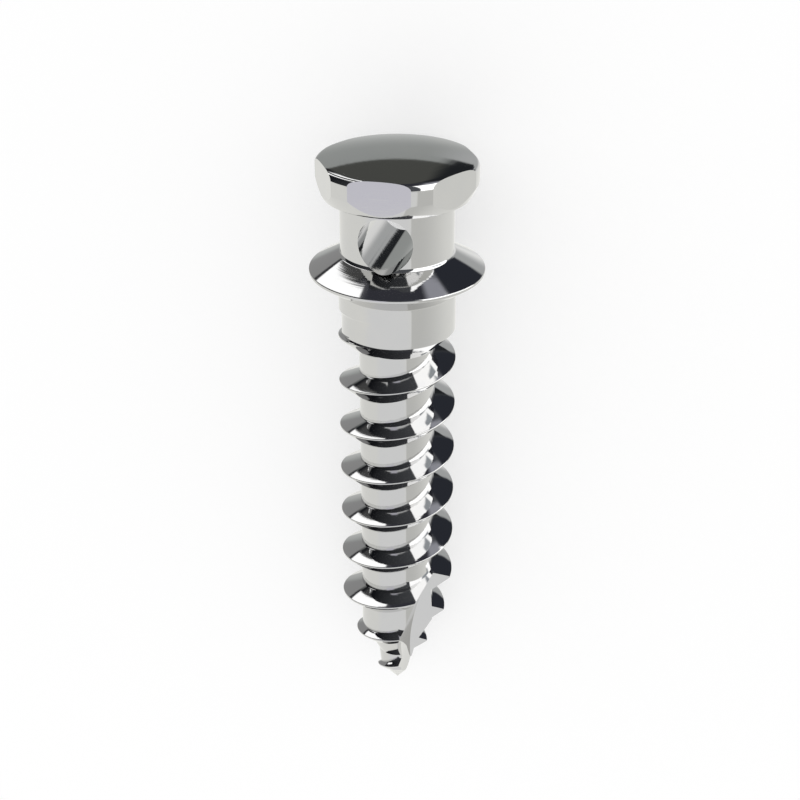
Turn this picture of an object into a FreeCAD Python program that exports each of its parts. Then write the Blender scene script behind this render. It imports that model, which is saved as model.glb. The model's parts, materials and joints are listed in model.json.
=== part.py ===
import FreeCAD, Part
import math
import os

from FreeCAD import Vector

# Bone micro screw, one turned and milled piece. Sizes in millimetres, angles in degrees.
# The screw is drawn upright, tip at the origin and head up, then laid down on its side.
# A clock angle is measured about the screw's axis from the drawn front, counter-clockwise from above.

# threaded shank
thread_length = 5.92
crest_radius = 0.80
core_radius = 0.52
pitch = 0.69
crest_land = 0.023
upper_flank_drop = 0.106
lower_flank_drop = 0.256
crest_height = 5.802
ridge_root_overlap = 0.02
ridge_step = 30.0

# tip, where the crest and the core narrow to the point
crest_taper_length = 1.662
crest_middle_length = 0.972
crest_middle_radius = 0.603
crest_tip_length = 0.282
crest_tip_radius = 0.29
crest_start_length = 0.11
crest_start_radius = 0.10
core_taper_length = 1.10
core_neck_length = 0.60
core_neck_radius = 0.275
point_length = 0.30
point_radius = 0.225
taper_bow = 0.02

# cutting flute at the tip, ground by a wheel with a flat side and a bevelled rim
wheel_radius = 2.78
wheel_rim_angle = 19.5
wheel_width = 1.4
wheel_side = 2.94
wheel_level = 0.33
flute_tilt = 11.4
flute_axis_level = 0.856

# collar above the thread, with the shallow relief where the thread runs out
collar_radius = 0.787
collar_length = 0.56
relief_depth = 0.056
relief_width = 0.29
relief_level = 0.10
relief_level_clock = -90.0
relief_clock = -135.0
relief_reach = 105.0
relief_flank_angle = 45.0

# round flange that keeps the gum off the head
flange_radius = 1.172
flange_rim = 0.04
flange_under_height = 0.265
flange_top_height = 0.226
neck_fillet = 0.05

# neck with the cross hole for wire
neck_radius = 0.755
neck_length = 0.79
hole_radius = 0.364
hole_height = 0.333
hole_clock = -13.0

# hexagon head with a domed top
head_radius = 1.07
head_flats = 1.98
head_flat_clock = -13.0
head_chamfer_width = 0.097
head_chamfer_height = 0.194
head_chamfer_bow = 0.05
head_wall_height = 0.18
head_edge_round = 0.09
head_dome_radius = 4.5

# how the screw lies: head towards +X, this clock angle down, on the flange's rim and the thread's crests
rest_clock = 168.0

collar_bottom = thread_length
collar_top = collar_bottom + collar_length
flange_bottom = collar_top + flange_under_height
flange_top = flange_bottom + flange_rim
neck_bottom = flange_top + flange_top_height
neck_top = neck_bottom + neck_length
wall_bottom = neck_top + head_chamfer_height
wall_top = wall_bottom + head_wall_height


def clock_vector(angle, radius=1.0, height=0.0):
    turn = math.radians(angle)
    return Vector(radius * math.sin(turn), -radius * math.cos(turn), height)


def revolve(edges):
    return Part.Face(Part.Wire(edges)).revolve(Vector(0, 0, 0), Vector(0, 0, 1), 360)


def lines(points):
    places = [Vector(radius, 0, height) for radius, height in points]
    return [Part.LineSegment(a, b).toShape() for a, b in zip(places, places[1:])]


def bowed(start, end, bow):
    """An arc that stands off the straight line between two profile points, by a share of its length."""
    a, b = Vector(start[0], 0, start[1]), Vector(end[0], 0, end[1])
    middle = (a + b) * 0.5 + Vector(b.z - a.z, 0, a.x - b.x) * bow
    return Part.Arc(a, middle, b).toShape()


def core_and_collar():
    chamfer = collar_radius - core_radius
    tip = [
        (0, 0),
        (point_radius, point_length),
        (core_neck_radius, core_neck_length),
        (core_radius, core_taper_length),
    ]
    straight = [
        (core_radius, core_taper_length),
        (core_radius, collar_bottom - chamfer),
        (collar_radius, collar_bottom),
        (collar_radius, collar_top),
        (0, collar_top),
        (0, 0),
    ]
    return revolve([bowed(a, b, taper_bow) for a, b in zip(tip, tip[1:])] + lines(straight))


def relief_cut():
    """A tilted ring, set off the axis, whose inner face leaves the collar's skin at both ends."""
    reach = math.cos(math.radians(relief_reach))
    offset = relief_depth / (1 - reach)
    inner = collar_radius + offset * reach
    flare = math.tan(math.radians(relief_flank_angle))
    outer = crest_radius + offset + relief_depth
    half = relief_width / 2
    wide = half + (outer - inner) * flare
    section = [(inner, -half), (outer, -wide), (outer, wide), (inner, half), (inner, -half)]
    ring = revolve(lines(section))
    lean = math.degrees(math.atan(pitch / (2 * math.pi * collar_radius)))
    ring.rotate(Vector(0, 0, 0), clock_vector(relief_level_clock), lean)
    ring.translate(clock_vector(relief_clock + 180, offset, collar_bottom + relief_level))
    return ring


def flange_and_neck():
    profile = [
        (0, collar_top),
        (collar_radius, collar_top),
        (flange_radius, flange_bottom),
        (flange_radius, flange_top),
        (neck_radius, neck_bottom),
        (neck_radius, neck_top),
        (0, neck_top),
        (0, collar_top),
    ]
    return revolve(lines(profile))


def cross_hole():
    along = clock_vector(hole_clock)
    reach = flange_radius + hole_radius
    start = along * -reach + Vector(0, 0, neck_bottom + hole_height)
    return Part.makeCylinder(hole_radius, 2 * reach, start, along)


def head():
    round_centre = head_radius - head_edge_round
    inner_dome = head_dome_radius - head_edge_round
    dome_centre = wall_top - math.sqrt(inner_dome**2 - round_centre**2)
    top = dome_centre + head_dome_radius
    share = head_dome_radius / inner_dome
    join = Vector(round_centre * share, 0, dome_centre + (wall_top - dome_centre) * share)
    half_angle = math.atan2(join.z - wall_top, join.x - round_centre) / 2
    middle = Vector(
        round_centre + head_edge_round * math.cos(half_angle),
        0,
        wall_top + head_edge_round * math.sin(half_angle),
    )
    dome_half = math.asin(join.x / head_dome_radius) / 2
    dome_middle = Vector(
        head_dome_radius * math.sin(dome_half), 0, dome_centre + head_dome_radius * math.cos(dome_half)
    )
    wall_end = Vector(head_radius, 0, wall_top)
    chamfer = [(head_radius - head_chamfer_width, neck_top), (head_radius, wall_bottom)]
    edges = lines([(0, neck_top), chamfer[0]])
    edges.append(bowed(*chamfer, head_chamfer_bow))
    edges += lines([chamfer[1], (head_radius, wall_top)])
    edges.append(Part.Arc(wall_end, middle, join).toShape())
    edges.append(Part.Arc(join, dome_middle, Vector(0, 0, top)).toShape())
    edges.append(Part.LineSegment(Vector(0, 0, top), Vector(0, 0, neck_top)).toShape())
    corner = head_flats / 2 / math.cos(math.radians(30))
    corners = [clock_vector(head_flat_clock + 30 + 60 * n, corner, neck_top) for n in range(7)]
    prism = Part.Face(Part.makePolygon(corners)).extrude(Vector(0, 0, top - neck_top + crest_radius))
    return revolve(edges).common(prism)


def crest_radius_at(level):
    profile = [
        (crest_start_length, crest_start_radius),
        (crest_tip_length, crest_tip_radius),
        (crest_middle_length, crest_middle_radius),
        (crest_taper_length, crest_radius),
    ]
    return radius_along(profile, level)


def core_radius_at(level):
    profile = [
        (0, 0),
        (point_length, point_radius),
        (core_neck_length, core_neck_radius),
        (core_taper_length, core_radius),
    ]
    return radius_along(profile, level)


def radius_along(profile, level):
    if level >= profile[-1][0]:
        return profile[-1][1]
    for (low, low_radius), (high, high_radius) in zip(profile, profile[1:]):
        if level <= high:
            share = max(level - low, 0) / (high - low)
            return low_radius + (high_radius - low_radius) * share


def ridge_section(angle, level):
    """The ridge's outline at a clock angle, with its crest at this level and its root inside the core."""
    depth = crest_radius - core_radius
    crest = crest_radius_at(level)
    foot_level = level - lower_flank_drop * 0.8
    root = max(core_radius_at(foot_level) - ridge_root_overlap, ridge_root_overlap)
    above = crest_land / 2 + upper_flank_drop * (crest - root) / depth
    below = crest_land / 2 + lower_flank_drop * (crest - root) / depth
    outline = [(root, above), (crest, crest_land / 2), (crest, -crest_land / 2), (root, -below)]
    corners = [clock_vector(angle, radius, level + rise) for radius, rise in outline]
    return Part.makePolygon(corners + [corners[0]])


def run_out_limit():
    """The space below the collar that the thread may fill, closed by a cone where the thread runs out."""
    run_out = collar_bottom - 2 * (crest_radius - collar_radius)
    wide = crest_radius + crest_land
    profile = [
        (0, -pitch),
        (wide, -pitch),
        (wide, run_out - crest_land),
        (0, run_out + crest_radius),
        (0, -pitch),
    ]
    return revolve(lines(profile))


def thread():
    """The right-hand ridge in half turns, from behind the point up to the collar."""
    limit = run_out_limit()
    first = -90 - 360 * (crest_height - crest_start_length) / pitch
    last = -90 + 360 * (collar_bottom - crest_height) / pitch
    stops = [90 + 180 * n for n in range(math.ceil((first - 60) / 180), math.ceil((last - 90) / 180) + 1)]
    pieces = []
    for start, end in zip([first] + stops, stops):
        steps = math.ceil((end - start) / ridge_step)
        angles = [start + (end - start) * n / steps for n in range(steps + 1)]
        sections = [ridge_section(angle, crest_height + pitch * (angle + 90) / 360) for angle in angles]
        pieces.append(Part.makeLoft(sections, True, False).common(limit))
    return pieces


def cutting_flute():
    """One flute on the front right of the tip: a flat cutting face and a slanting back."""
    tilt = math.radians(flute_tilt)
    towards = Vector(0, -math.cos(tilt), -math.sin(tilt))
    rim = wheel_radius + wheel_width * math.tan(math.radians(wheel_rim_angle))
    centre = Vector(wheel_side, (flute_axis_level - wheel_level) * math.tan(tilt), wheel_level)
    return Part.makeCone(wheel_radius, rim, wheel_width, centre, towards)


def rounded_neck(body):
    ring = [
        edge
        for edge in body.Edges
        if isinstance(edge.Curve, Part.Circle)
        and abs(edge.Curve.Radius - neck_radius) < 1e-6
        and abs(edge.Curve.Center.z - neck_bottom) < 1e-6
    ]
    return body.makeFillet(neck_fillet, ring)


def upright_screw():
    shank = core_and_collar().cut(relief_cut())
    shank = shank.fuse(rounded_neck(flange_and_neck()))
    shank = shank.fuse(head()).cut(cross_hole())
    screw = shank.multiFuse(thread()).cut(cutting_flute())
    return screw.removeSplitter()


def resting_lean():
    """The angle of the axis when the flange's rim and the first crest on the resting side touch the ground."""
    lowest_full = crest_height + pitch * (rest_clock - 270) / 360
    lowest_full -= math.floor((lowest_full - crest_taper_length) / pitch) * pitch
    slopes = []
    for level in (lowest_full, lowest_full - pitch):
        reach = flange_bottom - level - crest_land / 2
        slopes.append((flange_radius - crest_radius_at(level)) / reach)
    return math.degrees(math.atan(min(slopes)))


def laid_down(body):
    """Turns the resting side down, lays the axis along X and leans it on the flange and the thread."""
    body.rotate(Vector(0, 0, 0), Vector(0, 0, 1), 180 - rest_clock)
    body.rotate(Vector(0, 0, 0), Vector(1, 0, 0), -90)
    body.rotate(Vector(0, 0, 0), Vector(0, 0, 1), -90)
    body.rotate(Vector(0, 0, 0), Vector(0, 1, 0), -resting_lean())
    box = body.optimalBoundingBox()
    middle = Vector((box.XMin + box.XMax) / 2, (box.YMin + box.YMax) / 2, box.ZMin)
    body.translate(middle * -1)
    return body


def main():
    screw = laid_down(upright_screw())
    solids = screw.Solids
    print("solids", len(solids), "valid", screw.isValid(), "volume", screw.Volume)
    os.makedirs("parts", exist_ok=True)
    solids[0].exportStep("parts/micro_screw.step")


main()
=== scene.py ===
import bpy
import json
import math
from mathutils import Matrix, Vector


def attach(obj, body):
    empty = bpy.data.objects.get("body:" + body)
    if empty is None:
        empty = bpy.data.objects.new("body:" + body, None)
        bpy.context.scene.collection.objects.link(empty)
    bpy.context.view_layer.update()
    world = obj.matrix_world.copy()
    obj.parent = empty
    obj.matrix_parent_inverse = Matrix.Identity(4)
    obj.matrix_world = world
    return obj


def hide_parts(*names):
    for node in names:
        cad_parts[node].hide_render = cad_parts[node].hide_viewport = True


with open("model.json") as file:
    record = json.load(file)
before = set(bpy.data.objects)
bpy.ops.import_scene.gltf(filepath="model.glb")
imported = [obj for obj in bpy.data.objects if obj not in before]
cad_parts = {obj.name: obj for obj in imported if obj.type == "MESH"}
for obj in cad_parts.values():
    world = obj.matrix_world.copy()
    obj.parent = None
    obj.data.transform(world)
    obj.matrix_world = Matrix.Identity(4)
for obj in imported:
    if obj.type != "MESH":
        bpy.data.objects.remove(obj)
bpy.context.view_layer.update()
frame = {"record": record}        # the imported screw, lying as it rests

mounts = {mount["name"]: mount for mount in frame["record"]["mounts"]}
print("frame loaded")

# the screw is modelled upright in millimetres, point at the origin, and laid down at the end
shank = {
    "threadLength": 5.92, "crestRadius": 0.80, "coreRadius": 0.52, "pointLength": 0.30, "pointRadius": 0.245,
    "neckLength": 0.60, "neckRadius": 0.275, "taperLength": 1.10, "collarRadius": 0.787, "collarLength": 0.56,
    "steps": 192, "edgeRound": 0.008, "coreRings": 24, "collarRings": 14,
}
flange = {
    "radius": 1.172, "rim": 0.04, "underHeight": 0.265, "topHeight": 0.226, "fillet": 0.05, "filletSteps": 6,
}
neck = {
    "radius": 0.755, "length": 0.79, "holeRadius": 0.364, "holeHeight": 0.333, "clock": -13.0,
    "rings": 6, "intoHead": 0.1, "holeSides": 128, "holeCutLength": 3.0,
}
head = {
    "radius": 1.07, "flats": 1.98, "clock": -13.0, "chamferWidth": 0.097, "chamferHeight": 0.194,
    "wallHeight": 0.20, "edgeRound": 0.09, "domeRadius": 4.5, "edgeSteps": 8, "domeSteps": 24,
}

collarTop = shank["threadLength"] + shank["collarLength"]
flangeBottom = collarTop + flange["underHeight"]
flangeTop = flangeBottom + flange["rim"]
neckBottom = flangeTop + flange["topHeight"]
neckTop = neckBottom + neck["length"]
wallBottom = neckTop + head["chamferHeight"]
wallTop = wallBottom + head["wallHeight"]


def clockPlace(angle, radius=1.0, height=0.0):
    turn = math.radians(angle)
    return Vector((radius * math.sin(turn), -radius * math.cos(turn), height))


def lyingMatrix():
    along = Vector(mounts["ligature_neck"]["axis"]).normalized()
    hole = Vector(mounts["wire_hole"]["axis"])
    hole = (hole - hole.dot(along) * along).normalized()
    side = along.cross(hole)
    turn = math.radians(neck["clock"])
    right = math.sin(turn) * hole + math.cos(turn) * side
    back = -math.cos(turn) * hole + math.sin(turn) * side
    point = Vector(mounts["wire_hole"]["pos_m"]) - along * (neckBottom + neck["holeHeight"]) * 0.001
    turned = Matrix((right, back, along)).transposed().to_4x4()
    return Matrix.Translation(point) @ turned


layDown = lyingMatrix()


def leaveEdit():
    if bpy.context.object and bpy.context.object.mode != "OBJECT":
        bpy.ops.object.mode_set(mode="OBJECT")
    bpy.ops.object.select_all(action="DESELECT")


def pick(piece):
    leaveEdit()
    piece.select_set(True)
    bpy.context.view_layer.objects.active = piece


def drawOutline(name, points, closed=False):
    leaveEdit()
    bpy.ops.mesh.primitive_plane_add(size=0.1, location=(0, 0, 0))
    piece = bpy.context.object
    piece.name = name
    bpy.ops.object.mode_set(mode="EDIT")
    bpy.ops.mesh.select_mode(type="VERT")
    bpy.ops.mesh.select_all(action="SELECT")
    bpy.ops.mesh.merge(type="CENTER")
    bpy.ops.transform.translate(value=(points[0][0], 0, points[0][1]))
    for a, b in zip(points, points[1:]):
        bpy.ops.mesh.extrude_vertices_move(
            TRANSFORM_OT_translate={"value": (b[0] - a[0], 0, b[1] - a[1])}
        )
    if closed:
        bpy.ops.mesh.select_all(action="SELECT")
        bpy.ops.mesh.remove_doubles(threshold=1e-5)
    return piece


def roundCorners(piece, corners, width, segments=3):
    bpy.ops.mesh.select_all(action="DESELECT")
    bpy.ops.object.mode_set(mode="OBJECT")
    for vertex in piece.data.vertices:
        vertex.select = any((vertex.co - Vector((r, 0, z))).length < 1e-4 for r, z in corners)
    bpy.ops.object.mode_set(mode="EDIT")
    bpy.ops.mesh.select_mode(type="VERT")
    bpy.ops.mesh.bevel(offset=width, segments=segments, affect="VERTICES")


def spinRound(piece, steps):
    bpy.ops.mesh.select_all(action="SELECT")
    bpy.ops.mesh.spin(steps=steps, angle=2 * math.pi, center=(0, 0, 0), axis=(0, 0, 1))
    bpy.ops.mesh.select_all(action="SELECT")
    bpy.ops.mesh.remove_doubles(threshold=1e-4)
    bpy.ops.mesh.normals_make_consistent(inside=False)
    bpy.ops.object.mode_set(mode="OBJECT")


def combine(piece, other, how):
    pick(piece)
    cut = piece.modifiers.new(how.lower(), "BOOLEAN")
    cut.operation = how
    cut.solver = "EXACT"
    cut.object = other
    bpy.ops.object.modifier_apply(modifier=cut.name)
    bpy.data.objects.remove(other)


def spaced(start, end, count):
    across, along = end[0] - start[0], end[1] - start[1]
    return [(start[0] + across * n / count, start[1] + along * n / count) for n in range(count)]


def makeBody():
    s = shank
    runOut = s["threadLength"] - (s["collarRadius"] - s["coreRadius"])
    coreStart, coreEnd = (s["coreRadius"], s["taperLength"]), (s["coreRadius"], runOut)
    collar = [(s["collarRadius"], s["threadLength"]), (s["collarRadius"], collarTop)]
    rims = [(flange["radius"], flangeBottom), (flange["radius"], flangeTop)]
    neckFoot, neckEnd = (neck["radius"], neckBottom), (neck["radius"], neckTop + neck["intoHead"])
    points = [(0, 0), (s["pointRadius"], s["pointLength"]), (s["neckRadius"], s["neckLength"])]
    points += spaced(coreStart, coreEnd, s["coreRings"]) + [coreEnd]
    points += spaced(*collar, s["collarRings"]) + collar[1:] + rims
    points += spaced(neckFoot, neckEnd, neck["rings"]) + [neckEnd, (0, neckEnd[1])]
    piece = drawOutline("screwBody", points)
    roundCorners(piece, collar + rims, s["edgeRound"])
    slope = math.atan2(flange["topHeight"], flange["radius"] - neck["radius"])
    cornerWidth = flange["fillet"] * math.tan((math.pi / 2 - slope) / 2)
    roundCorners(piece, [neckFoot], cornerWidth, flange["filletSteps"])
    spinRound(piece, s["steps"])
    return piece


def makeHead():
    h = head
    roundCentre = h["radius"] - h["edgeRound"]
    innerDome = h["domeRadius"] - h["edgeRound"]
    domeCentre = wallTop - math.sqrt(innerDome**2 - roundCentre**2)
    joinAngle = math.atan2(roundCentre, wallTop - domeCentre)
    points = [(0, neckTop), (h["radius"] - h["chamferWidth"], neckTop)]
    points += [(h["radius"], wallBottom), (h["radius"], wallTop)]
    # the rounded upper edge, then the dome
    for n in range(1, h["edgeSteps"] + 1):
        angle = (math.pi / 2 - joinAngle) * n / h["edgeSteps"]
        outwards, upwards = h["edgeRound"] * math.cos(angle), h["edgeRound"] * math.sin(angle)
        points.append((roundCentre + outwards, wallTop + upwards))
    for n in range(1, h["domeSteps"]):
        angle = joinAngle * (1 - n / h["domeSteps"])
        points.append((h["domeRadius"] * math.sin(angle), domeCentre + h["domeRadius"] * math.cos(angle)))
    points.append((0, domeCentre + h["domeRadius"]))
    piece = drawOutline("screwHead", points)
    roundCorners(piece, points[1:3], shank["edgeRound"])
    spinRound(piece, shank["steps"])
    corner = h["flats"] / 2 / math.cos(math.radians(30))
    bpy.ops.object.select_all(action="DESELECT")
    turn = math.radians(h["clock"] + 30)
    bpy.ops.mesh.primitive_cylinder_add(
        vertices=6, radius=corner, depth=2, location=(0, 0, wallTop), rotation=(0, 0, turn),
    )
    combine(piece, bpy.context.object, "INTERSECT")
    return piece


thread = {
    "pitch": 0.69, "land": 0.023, "crestRound": 0.006, "upperDrop": 0.106, "lowerDrop": 0.256,
    "crestHeight": 5.802, "overlap": 0.02, "startLevel": 0.11, "startRadius": 0.10, "tipLevel": 0.282,
    "tipRadius": 0.29, "middleLevel": 0.972, "middleRadius": 0.603, "taperLevel": 1.662,
    "rootLag": 0.8, "pastCollar": 0.2, "clear": 0.02, "steps": 144,
}


def radiusAlong(profile, level):
    if level >= profile[-1][0]:
        return profile[-1][1]
    for (low, lowRadius), (high, highRadius) in zip(profile, profile[1:]):
        if level <= high:
            return lowRadius + (highRadius - lowRadius) * max(level - low, 0) / (high - low)


def makeThread():
    t, crest, core = thread, shank["crestRadius"], shank["coreRadius"]
    crestLine = [
        (t["startLevel"], t["startRadius"]), (t["tipLevel"], t["tipRadius"]),
        (t["middleLevel"], t["middleRadius"]), (t["taperLevel"], crest),
    ]
    coreLine = [
        (0, 0), (shank["pointLength"], shank["pointRadius"]), (shank["neckLength"], shank["neckRadius"]),
        (shank["taperLength"], core),
    ]
    root = core - t["overlap"]
    share = 1 + t["overlap"] / (crest - core)
    above = t["land"] / 2 + t["upperDrop"] * share
    below = t["land"] / 2 + t["lowerDrop"] * share
    # the outline is drawn where the crest starts, on the +X side, and turned to its place afterwards
    start = t["startLevel"]
    turns = (shank["threadLength"] + t["pastCollar"] - start) / t["pitch"]
    corners = [(crest, start + t["land"] / 2), (crest, start - t["land"] / 2)]
    points = [(root, start + above)] + corners + [(root, start - below), (root, start + above)]
    piece = drawOutline("screwThread", points, closed=True)
    roundCorners(piece, corners, t["crestRound"], 2)
    bpy.ops.object.mode_set(mode="OBJECT")
    pick(piece)
    outline = [(vertex.co.x, vertex.co.z - start) for vertex in piece.data.vertices]
    steps = int(t["steps"] * turns)
    wind = piece.modifiers.new("wind", "SCREW")
    wind.axis, wind.angle, wind.screw_offset = "Z", 2 * math.pi * turns, t["pitch"] * turns
    wind.steps = wind.render_steps = steps
    wind.use_merge_vertices = False
    bpy.ops.object.modifier_apply(modifier="wind")
    # near the point the ridge moves inwards and gets lower
    for vertex in piece.data.vertices:
        step, corner = divmod(vertex.index, len(outline))
        level = start + t["pitch"] * turns * step / steps
        if level < t["taperLevel"]:
            radius, rise = outline[corner]
            newCrest = radiusAlong(crestLine, level)
            rootLevel = level - t["lowerDrop"] * t["rootLag"]
            newRoot = max(radiusAlong(coreLine, rootLevel) - t["overlap"], t["overlap"])
            shrink = (newCrest - newRoot) / (crest - root)
            inwards = (newCrest - (crest - radius) * shrink) / radius
            vertex.co = (vertex.co.x * inwards, vertex.co.y * inwards, level + rise * shrink)
    bpy.ops.object.mode_set(mode="EDIT")
    bpy.ops.mesh.select_all(action="DESELECT")
    bpy.ops.mesh.select_mode(type="EDGE")
    bpy.ops.mesh.select_non_manifold(
        extend=False, use_wire=False, use_boundary=True, use_multi_face=False,
        use_non_contiguous=False, use_verts=False,
    )
    bpy.ops.mesh.fill(use_beauty=False)
    bpy.ops.mesh.select_all(action="SELECT")
    bpy.ops.mesh.normals_make_consistent(inside=False)
    bpy.ops.object.mode_set(mode="OBJECT")
    # clock of the crest's start, from the level at which the crest passes the -X side
    clock = -90 + 360 * (start - t["crestHeight"]) / t["pitch"]
    piece.rotation_euler = (0, 0, math.radians(clock - 90))
    bpy.ops.object.transform_apply(location=True, rotation=True, scale=True)
    # above the run-out, a cone takes the ridge away
    limitRadius, belowPoint = crest + t["clear"], -0.5
    runOut = shank["threadLength"] - 2 * (crest - shank["collarRadius"])
    limit = drawOutline("threadLimit", [
        (0, belowPoint), (limitRadius, belowPoint), (limitRadius, runOut - t["clear"]), (0, runOut + crest),
    ])
    spinRound(limit, shank["steps"])
    combine(piece, limit, "INTERSECT")
    return piece


# a shallow groove at the collar's foot, cut by an off-centre ring that leans with the thread
relief = {
    "depth": 0.056, "width": 0.29, "cornerRound": 0.02, "level": 0.10, "levelClock": -90.0,
    "clock": -135.0, "reach": 88.0,
}


def makeReliefCutter():
    reach = math.cos(math.radians(relief["reach"]))
    offset = relief["depth"] / (1 - reach)
    inner = shank["collarRadius"] + offset * reach
    outer = shank["crestRadius"] + offset + relief["depth"]
    half = relief["width"] / 2
    wide = half + outer - inner
    section = [(inner, -half), (outer, -wide), (outer, wide), (inner, half), (inner, -half)]
    piece = drawOutline("reliefCutter", section, closed=True)
    roundCorners(piece, [(inner, -half), (inner, half)], relief["cornerRound"])
    spinRound(piece, shank["steps"])
    lean = math.atan(thread["pitch"] / (2 * math.pi * shank["collarRadius"]))
    place = clockPlace(relief["clock"] + 180, offset, shank["threadLength"] + relief["level"])
    leaning = Matrix.Rotation(lean, 4, clockPlace(relief["levelClock"]))
    piece.matrix_world = Matrix.Translation(place) @ leaning
    return piece


# the grinding wheel that leaves the flute: a flat side and a slanting rim
flute = {
    "radius": 3.79, "rimAngle": 21.9, "width": 1.4, "side": 3.98, "level": 0.54, "tilt": 11.4,
    "axisLevel": 0.856, "sides": 512,
}


def makeFluteCutter():
    tilt = math.radians(flute["tilt"])
    towards = Vector((0, -math.cos(tilt), -math.sin(tilt)))
    edge = flute["radius"] + flute["width"] * math.tan(math.radians(flute["rimAngle"]))
    depth = (flute["axisLevel"] - flute["level"]) * math.tan(tilt)
    centre = Vector((flute["side"], depth, flute["level"])) + towards * flute["width"] / 2
    leaveEdit()
    bpy.ops.mesh.primitive_cone_add(
        vertices=flute["sides"], radius1=flute["radius"], radius2=edge, depth=flute["width"],
        location=centre, rotation=(math.pi / 2 + tilt, 0, 0),
    )
    return bpy.context.object


def makeHoleCutter():
    leaveEdit()
    bpy.ops.mesh.primitive_cylinder_add(
        vertices=neck["holeSides"], radius=neck["holeRadius"], depth=neck["holeCutLength"],
        location=(0, 0, neckBottom + neck["holeHeight"]),
        rotation=(math.pi / 2, 0, math.radians(neck["clock"])),
    )
    return bpy.context.object


smoothAngle = 20.0       # less than the corners of the head's flats, which stay sharp


def makeScrew():
    screw = makeBody()
    combine(screw, makeReliefCutter(), "DIFFERENCE")
    print("shank, collar, flange and neck turned")
    combine(screw, makeHead(), "UNION")
    combine(screw, makeHoleCutter(), "DIFFERENCE")
    print("head milled and hole drilled")
    combine(screw, makeThread(), "UNION")
    combine(screw, makeFluteCutter(), "DIFFERENCE")
    print("thread cut")
    screw.name = "polishedScrew"
    screw.matrix_world = layDown @ Matrix.Scale(0.001, 4)
    pick(screw)
    bpy.ops.object.transform_apply(location=True, rotation=True, scale=True)
    bpy.ops.object.shade_smooth_by_angle(angle=math.radians(smoothAngle))
    return screw


screw = makeScrew()
print("triangles", sum(len(face.vertices) - 2 for face in screw.data.polygons))


def addNode(tree, kind, slots=None, **settings):
    node = tree.nodes.new(kind)
    for name, value in settings.items():
        setattr(node, name, value)
    for slot, value in (slots or {}).items():
        if isinstance(value, bpy.types.NodeSocket):
            tree.links.new(value, node.inputs[slot])
        else:
            node.inputs[slot].default_value = value
    return node


def calc(tree, how, *values):
    return addNode(tree, "ShaderNodeMath", dict(enumerate(values)), operation=how).outputs[0]


def startGroup(name, inputs, outputs):
    group = bpy.data.node_groups.new(name, "ShaderNodeTree")
    for label, kind in inputs:
        group.interface.new_socket(name=label, in_out="INPUT", socket_type=kind)
    for label, kind in outputs:
        group.interface.new_socket(name=label, in_out="OUTPUT", socket_type=kind)
    return group, group.nodes.new("NodeGroupInput").outputs, group.nodes.new("NodeGroupOutput").inputs


def makeTurnedGrain():
    group, given, out = startGroup("turnedGrain", [
        ("Place", "NodeSocketVector"), ("Ring Density", "NodeSocketFloat"),
    ], [("Rings", "NodeSocketFloat")])
    # rings that depend only on the distance from the axis and the level along it, as a lathe leaves them
    parts = addNode(group, "ShaderNodeSeparateXYZ", {0: given["Place"]}).outputs
    squared = [calc(group, "MULTIPLY", part, part) for part in parts[:2]]
    radius = calc(group, "SQRT", calc(group, "ADD", *squared))
    spot = addNode(group, "ShaderNodeCombineXYZ", {0: radius, 2: parts[2]}).outputs[0]
    rings = addNode(group, "ShaderNodeTexNoise", {
        "Vector": spot, "Scale": given["Ring Density"], "Detail": 3.0, "Roughness": 0.65,
    })
    group.links.new(rings.outputs["Fac"], out["Rings"])
    return group


def makeEdgeWearAndHighlight():
    group, given, out = startGroup("edgeWearAndHighlight", [
        ("Place", "NodeSocketVector"), ("Width", "NodeSocketFloat"),
    ], [("WearAndHighlight", "NodeSocketFloat")])
    # the rounded normal differs from the true one only along edges, broken up by a coarse noise; this edge
    # mask marks wear and a painted highlight along the edges
    rounded = addNode(group, "ShaderNodeBevel", {"Radius": given["Width"]}, samples=4)
    true = addNode(group, "ShaderNodeNewGeometry").outputs["Normal"]
    same = addNode(group, "ShaderNodeVectorMath", {0: rounded.outputs[0], 1: true}, operation="DOT_PRODUCT")
    bend = addNode(group, "ShaderNodeMapRange", {
        "Value": same.outputs["Value"], "From Min": 0.995, "From Max": 0.90,
    }).outputs[0]
    patches = addNode(group, "ShaderNodeTexNoise", {"Vector": given["Place"], "Scale": 7.0, "Detail": 4.0})
    patches = addNode(group, "ShaderNodeMapRange", {
        "Value": patches.outputs["Fac"], "From Min": 0.35, "From Max": 0.65,
    }).outputs[0]
    group.links.new(calc(group, "MULTIPLY", bend, patches), out["WearAndHighlight"])
    return group


def makeHandling():
    group, given, out = startGroup("handlingMarks", [
        ("Place", "NodeSocketVector"), ("Scale", "NodeSocketFloat"),
    ], [("Smudge", "NodeSocketFloat"), ("Specks", "NodeSocketFloat")])
    # faint smudges from handling and tiny specks left in the polish
    smudge = addNode(group, "ShaderNodeTexNoise", {
        "Vector": given["Place"], "Scale": given["Scale"], "Detail": 5.0, "Distortion": 0.8,
    })
    speck = addNode(group, "ShaderNodeTexVoronoi", {
        "Vector": given["Place"], "Scale": calc(group, "MULTIPLY", given["Scale"], 9.0),
    })
    spots = addNode(group, "ShaderNodeMapRange", {
        "Value": speck.outputs["Distance"], "From Min": 0.10, "From Max": 0.02,
    })
    group.links.new(smudge.outputs["Fac"], out["Smudge"])
    group.links.new(spots.outputs[0], out["Specks"])
    return group


# the lighter edge colour is edge wear and also a painted highlight along the edges
polish = {
    "clean": (0.655, 0.650, 0.640, 1.0), "dull": (0.610, 0.612, 0.618, 1.0), "wornAndHighlit": (0.74, 0.735, 0.72, 1.0),
    "roughLow": 0.035, "roughHigh": 0.085, "wornRough": 0.06, "speckShare": 0.5, "ringDensity": 26.0,
    "smudgeScale": 1.9, "wearAndHighlightWidth": 0.000014, "grainHeight": 0.0000003,
}


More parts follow.
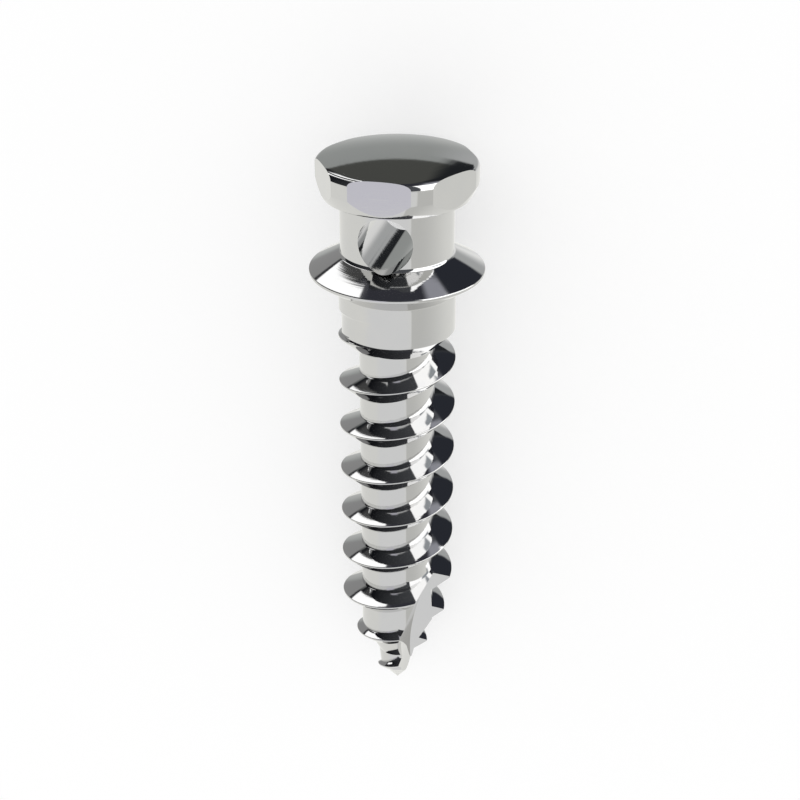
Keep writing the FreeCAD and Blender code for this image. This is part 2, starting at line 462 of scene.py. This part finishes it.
def makePolish():
    material = bpy.data.materials.new("polishedTitanium")
    material.use_nodes = True
    tree = material.node_tree
    shader = tree.nodes["Principled BSDF"]
    shader.inputs["Metallic"].default_value = 1.0
    turned = layDown.to_3x3().transposed()
    place = addNode(tree, "ShaderNodeTexCoord").outputs["Object"]
    # object coordinates turned back upright, in millimetres from the point along the axis
    place = addNode(tree, "ShaderNodeMapping", {
        "Vector": place, "Rotation": turned.to_euler(), "Scale": (1000, 1000, 1000),
        "Location": (turned @ layDown.translation) * -1000,
    }, vector_type="POINT").outputs[0]
    # scale comes before rotation in the node, and is even, so the order does no harm
    grain = addNode(tree, "ShaderNodeGroup", node_tree=makeTurnedGrain())
    wearAndHighlight = addNode(tree, "ShaderNodeGroup", node_tree=makeEdgeWearAndHighlight())
    marks = addNode(tree, "ShaderNodeGroup", node_tree=makeHandling())
    for node in (grain, wearAndHighlight, marks):
        tree.links.new(place, node.inputs["Place"])
    grain.inputs["Ring Density"].default_value = polish["ringDensity"]
    wearAndHighlight.inputs["Width"].default_value = polish["wearAndHighlightWidth"]
    marks.inputs["Scale"].default_value = polish["smudgeScale"]
    colour = addNode(tree, "ShaderNodeMix", {
        0: marks.outputs["Smudge"], 6: polish["clean"], 7: polish["dull"],
    }, data_type="RGBA").outputs[2]
    # edges take a lighter colour: edge wear, and a painted highlight along the edges
    colour = addNode(tree, "ShaderNodeMix", {
        0: wearAndHighlight.outputs["WearAndHighlight"], 6: colour, 7: polish["wornAndHighlit"],
    }, data_type="RGBA").outputs[2]
    tree.links.new(colour, shader.inputs["Base Color"])
    uneven = calc(tree, "MULTIPLY_ADD", marks.outputs["Specks"], polish["speckShare"], grain.outputs["Rings"])
    uneven = calc(tree, "MULTIPLY", uneven, marks.outputs["Smudge"])
    rough = addNode(tree, "ShaderNodeMapRange", {
        "Value": uneven, "From Min": 0.1, "From Max": 0.5,
        "To Min": polish["roughLow"], "To Max": polish["roughHigh"],
    }).outputs[0]
    rough = calc(tree, "MULTIPLY_ADD", wearAndHighlight.outputs["WearAndHighlight"], polish["wornRough"], rough)
    tree.links.new(rough, shader.inputs["Roughness"])
    bump = addNode(tree, "ShaderNodeBump", {
        "Height": grain.outputs["Rings"], "Strength": 1.0, "Distance": polish["grainHeight"],
    })
    tree.links.new(bump.outputs[0], shader.inputs["Normal"])
    return material


screw.data.materials.clear()
screw.data.materials.append(makePolish())
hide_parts("micro_screw")
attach(screw, "root")
print("screw finished")

# What the metal mirrors, by directions about the upright screw in degrees: turn 0 is the photo's front and
# positive to its right, height 0 is level. Each panel has its turn from and to and softness, its height from
# and to and softness, its light, and where it leans, the turn that it gains with each degree of height.
# Later panels cover earlier ones.
studio = {
    "floorSize": 0.4, "floorColour": (0.52, 0.52, 0.52, 1.0), "floorGlow": 0.48,
    "dimLeft": (0.012, 0.013, 0.016, 1.0), "dimRight": (0.105, 0.11, 0.12, 1.0), "dimTurns": (-105, 30),
    "white": (1.0, 1.0, 1.0, 1.0),
}
panels = {
    "ceiling": (-400, 400, 1, 62, 100, 6, (0.042, 0.043, 0.054)),
    "dimBack": (163, 400, 3, 24, 66, 4, (0.085, 0.087, 0.08)),
    "dimBackLeft": (-400, -166, 2, 24, 66, 4, (0.085, 0.087, 0.08)),
    "backWall": (160, 400, 8, -40, 27.5, 0.8, (0.37, 0.385, 0.375)),
    "backWallLeft": (-400, -152, 14, -40, 27.5, 0.8, (0.37, 0.385, 0.375)),
    "backGlow": (165, 400, 10, -40, 4, 12, (0.56, 0.57, 0.56)),
    "backGlowLeft": (-400, -165, 14, -40, 4, 12, (0.56, 0.57, 0.56)),
    "upperLeft": (-112, -84, 6, 48, 66, 6, (0.22, 0.22, 0.23)),
    "leftTab": (-163, -120, 3, -20, 24.5, 1.5, (0.34, 0.34, 0.34)),
    "leftDark": (-160, -118, 2, 33, 80, 4, (0.075, 0.075, 0.075)),
    "leftPanel": (-169.4, -155, 0.7, 27.6, 66, 1, (1.6, 1.6, 1.6), 0.9),
    "leftLine": (-169.4, -150, 0.7, 24.5, 27.6, 1, (0.05, 0.05, 0.055), 0.9),
    "crescent": (-165, -152, 1.0, 35, 62, 3, (1.6, 1.6, 1.6)),
    "rightPanel": (32, 112, 1.5, -30, 60, 5, (2.3, 2.3, 2.3)),
    "rightShade": (70, 98, 3, 8, 25, 3, (0.60, 0.64, 0.68)),
    "upperRight": (66, 120, 5, 56.5, 71, 3, (0.38, 0.385, 0.43)),
    "backGrey": (136, 172, 4, -10, 22.8, 1, (0.50, 0.51, 0.51)),
    "rightDark": (114, 149, 2, 19.5, 56.5, 2, (0.030, 0.033, 0.043)),
    "backBar": (149, 171, 2, 22.8, 56.5, 0.8, (0.020, 0.022, 0.025)),
    "backSide": (112, 172, 6, -30, 3, 8, (0.93, 0.93, 0.92)),
    "ground": (-400, 400, 1, -100, -14.5, 1.0, (0.93, 0.93, 0.895)),
    "groundFront": (-62, 27, 12, -100, -14.5, 1.0, (0.90, 0.905, 0.905)),
    "groundTint": (-37, -13, 3, -20.8, -12, 0.6, (0.79, 0.78, 0.86)),
    "groundShade": (28, 130, 1.2, -100, -14.5, 1.0, (0.70, 0.70, 0.675)),
    "groundRight": (82, 400, 42, -100, -14.5, 1.0, (0.93, 0.93, 0.895)),
}


def makeFloor():
    leaveEdit()
    bpy.ops.mesh.primitive_plane_add(size=studio["floorSize"], location=(0, 0, 0))
    floor = bpy.context.object
    floor.name = "floor"
    material = bpy.data.materials.new("paleFloor")
    material.use_nodes = True
    tree = material.node_tree
    shader = tree.nodes["Principled BSDF"]
    shader.inputs["Base Color"].default_value = studio["floorColour"]
    shader.inputs["Roughness"].default_value = 1.0
    shader.inputs["Specular IOR Level"].default_value = 0.0
    shader.inputs["Emission Color"].default_value = studio["white"]
    seen = addNode(tree, "ShaderNodeLightPath").outputs["Is Camera Ray"]
    tree.links.new(calc(tree, "MULTIPLY", seen, studio["floorGlow"]), shader.inputs["Emission Strength"])
    floor.data.materials.append(material)
    floor.visible_glossy = False      # the metal mirrors the studio instead
    return floor


def makeWorld():
    world = bpy.data.worlds.new("studio")
    bpy.context.scene.world = world
    world.use_nodes = True
    tree = world.node_tree
    tree.nodes.clear()

    def ramp(value, low, high, kind="SMOOTHSTEP"):
        return addNode(tree, "ShaderNodeMapRange", {
            "Value": value, "From Min": low, "From Max": high,
        }, interpolation_type=kind).outputs["Result"]

    def window(value, low, high, soft):
        rise = ramp(value, low - soft, low + soft)
        return calc(tree, "MULTIPLY", rise, ramp(value, high + soft, high - soft))

    def blend(mask, base, other):
        return addNode(tree, "ShaderNodeMix", {0: mask, 6: base, 7: other}, data_type="RGBA").outputs[2]

    place = addNode(tree, "ShaderNodeTexCoord").outputs["Generated"]
    upright = addNode(tree, "ShaderNodeMapping", {
        "Vector": place, "Rotation": layDown.to_3x3().transposed().to_euler(),
    }, vector_type="POINT").outputs[0]
    x, y, z = addNode(tree, "ShaderNodeSeparateXYZ", {0: upright}).outputs
    turn = calc(tree, "DEGREES", calc(tree, "ARCTAN2", x, calc(tree, "MULTIPLY", y, -1.0)))
    height = calc(tree, "DEGREES", calc(tree, "ARCSINE", z))
    light = blend(ramp(turn, *studio["dimTurns"], "LINEAR"), studio["dimLeft"], studio["dimRight"])
    for turnFrom, turnTo, turnSoft, low, high, soft, colour, *lean in panels.values():
        leaning = calc(tree, "MULTIPLY_ADD", height, -lean[0], turn) if lean else turn
        across = window(leaning, turnFrom, turnTo, turnSoft)
        mask = calc(tree, "MULTIPLY", across, window(height, low, high, soft))
        light = blend(mask, light, (*colour, 1.0))
    mirrored = addNode(tree, "ShaderNodeLightPath").outputs["Is Glossy Ray"]
    light = blend(mirrored, studio["white"], light)
    background = addNode(tree, "ShaderNodeBackground", {"Color": light})
    output = addNode(tree, "ShaderNodeOutputWorld")
    tree.links.new(background.outputs[0], output.inputs["Surface"])


# the photo's camera, in millimetres about the upright screw
photoView = {"place": (0.038, -18.504, 14.392), "pitch": 27.46, "lens": 67.5, "sensor": 36.0}


def makeCamera():
    leaveEdit()
    bpy.ops.object.camera_add()
    camera = bpy.context.object
    camera.name = "camera"
    camera.data.lens = photoView["lens"]
    camera.data.sensor_width = photoView["sensor"]
    camera.data.clip_start = 0.0005
    camera.data.clip_end = 10
    upright = Matrix.Translation(Vector(photoView["place"]) * 0.001)
    upright = upright @ Matrix.Rotation(math.radians(90 - photoView["pitch"]), 4, "X")
    camera.matrix_world = layDown @ upright
    bpy.context.scene.camera = camera


makeFloor()
makeWorld()
makeCamera()
bpy.context.scene.view_settings.view_transform = "Standard"
print("studio ready")
